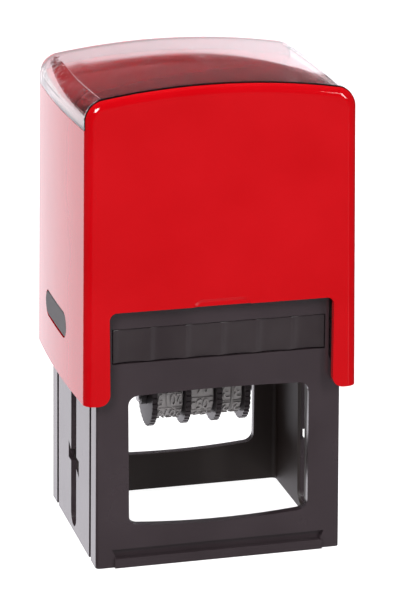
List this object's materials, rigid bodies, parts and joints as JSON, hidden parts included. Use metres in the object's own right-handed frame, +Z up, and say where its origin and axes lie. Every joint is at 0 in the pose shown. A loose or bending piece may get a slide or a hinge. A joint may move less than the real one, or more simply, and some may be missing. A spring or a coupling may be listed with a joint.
{
  "type": "rotary date stamp",
  "caption": "Self-inking date stamp: a press cover slides over an open frame and flips a print block with rubber date bands from ink pad to paper.",
  "frame": {"origin": "middle of the base, on the surface that the stamp stands on", "axes": "+Z up along the press stroke, +X to the right along the pad's width, -Y the front where the ink pad pulls out"},
  "size_m": [0.0678, 0.055, 0.1165],
  "materials": {
    "cover_red": "gloss",
    "window_clear": "gloss",
    "frame_black": "satin",
    "carrier_black": "gloss",
    "button_grey": "satin",
    "pad_black": "satin",
    "felt_ink": "ink-soaked felt",
    "block_black": "satin",
    "die_rubber": "matte",
    "band_rubber": "matte",
    "wheel_plastic": "satin",
    "steel": "bright wire"
  },
  "bodies": {
    "frame": {"lower_frame": "frame_black", "return_spring_left": "steel", "return_spring_right": "steel"},
    "cover": {"cover_shell": "cover_red", "carrier_bridge": "carrier_black"},
    "window": {"index_window": "window_clear"},
    "button_left": {"lock_button_left": "button_grey"},
    "button_right": {"lock_button_right": "button_grey"},
    "pad_cartridge": {"ink_pad_tray": "pad_black", "ink_pad_felt": "felt_ink"},
    "block": {"print_block": "block_black", "backing_plate": "block_black", "text_die": "die_rubber", "pivot_pin_left": "block_black", "pivot_pin_right": "block_black", "band_cheek_left": "block_black", "band_cheek_right": "block_black", "band_anvil": "block_black", "wheel_axle": "steel", "year_band": "band_rubber", "month_band": "band_rubber", "day_tens_band": "band_rubber", "day_units_band": "band_rubber"},
    "year": {"year_wheel": "wheel_plastic"},
    "month": {"month_wheel": "wheel_plastic"},
    "day_tens": {"day_tens_wheel": "wheel_plastic"},
    "day_units": {"day_units_wheel": "wheel_plastic"}
  },
  "joints": [
    {"name": "press", "type": "slide", "parent": "frame", "child": "cover", "axis": [0, 0, -1], "range_m": [0, 0.04], "stiffness_N_per_m": 300, "springref_m": -0.02, "deforming": ["return_spring_left", "return_spring_right", "ink_pad_felt"]},
    {"name": "flip", "type": "hinge", "parent": "cover", "child": "block", "pos_m": [0, 0, 0.0445], "axis": [1, 0, 0], "range_deg": [0, 180]},
    {"name": "pad_slide", "type": "slide", "parent": "frame", "child": "pad_cartridge", "axis": [0, 1, 0], "range_m": [-0.05, 0]},
    {"name": "window_lift", "type": "slide", "parent": "cover", "child": "window", "axis": [0, 0, 1], "range_m": [0, 0.012]},
    {"name": "lock_left", "type": "slide", "parent": "cover", "child": "button_left", "axis": [1, 0, 0], "range_m": [0, 0.0008], "stiffness_N_per_m": 800, "springref_m": -0.0005},
    {"name": "lock_right", "type": "slide", "parent": "cover", "child": "button_right", "axis": [-1, 0, 0], "range_m": [0, 0.0008], "stiffness_N_per_m": 800, "springref_m": -0.0005},
    {"name": "year_turn", "type": "hinge", "parent": "block", "child": "year", "pos_m": [0, 0, 0.0342], "axis": [1, 0, 0], "continuous": true},
    {"name": "month_turn", "type": "hinge", "parent": "block", "child": "month", "pos_m": [0, 0, 0.0342], "axis": [1, 0, 0], "continuous": true},
    {"name": "day_tens_turn", "type": "hinge", "parent": "block", "child": "day_tens", "pos_m": [0, 0, 0.0342], "axis": [1, 0, 0], "continuous": true},
    {"name": "day_units_turn", "type": "hinge", "parent": "block", "child": "day_units", "pos_m": [0, 0, 0.0342], "axis": [1, 0, 0], "continuous": true}
  ],
  "couplings": [
    {"joint": "flip", "follows": "press", "rad_per_m": 78.54}
  ]
}
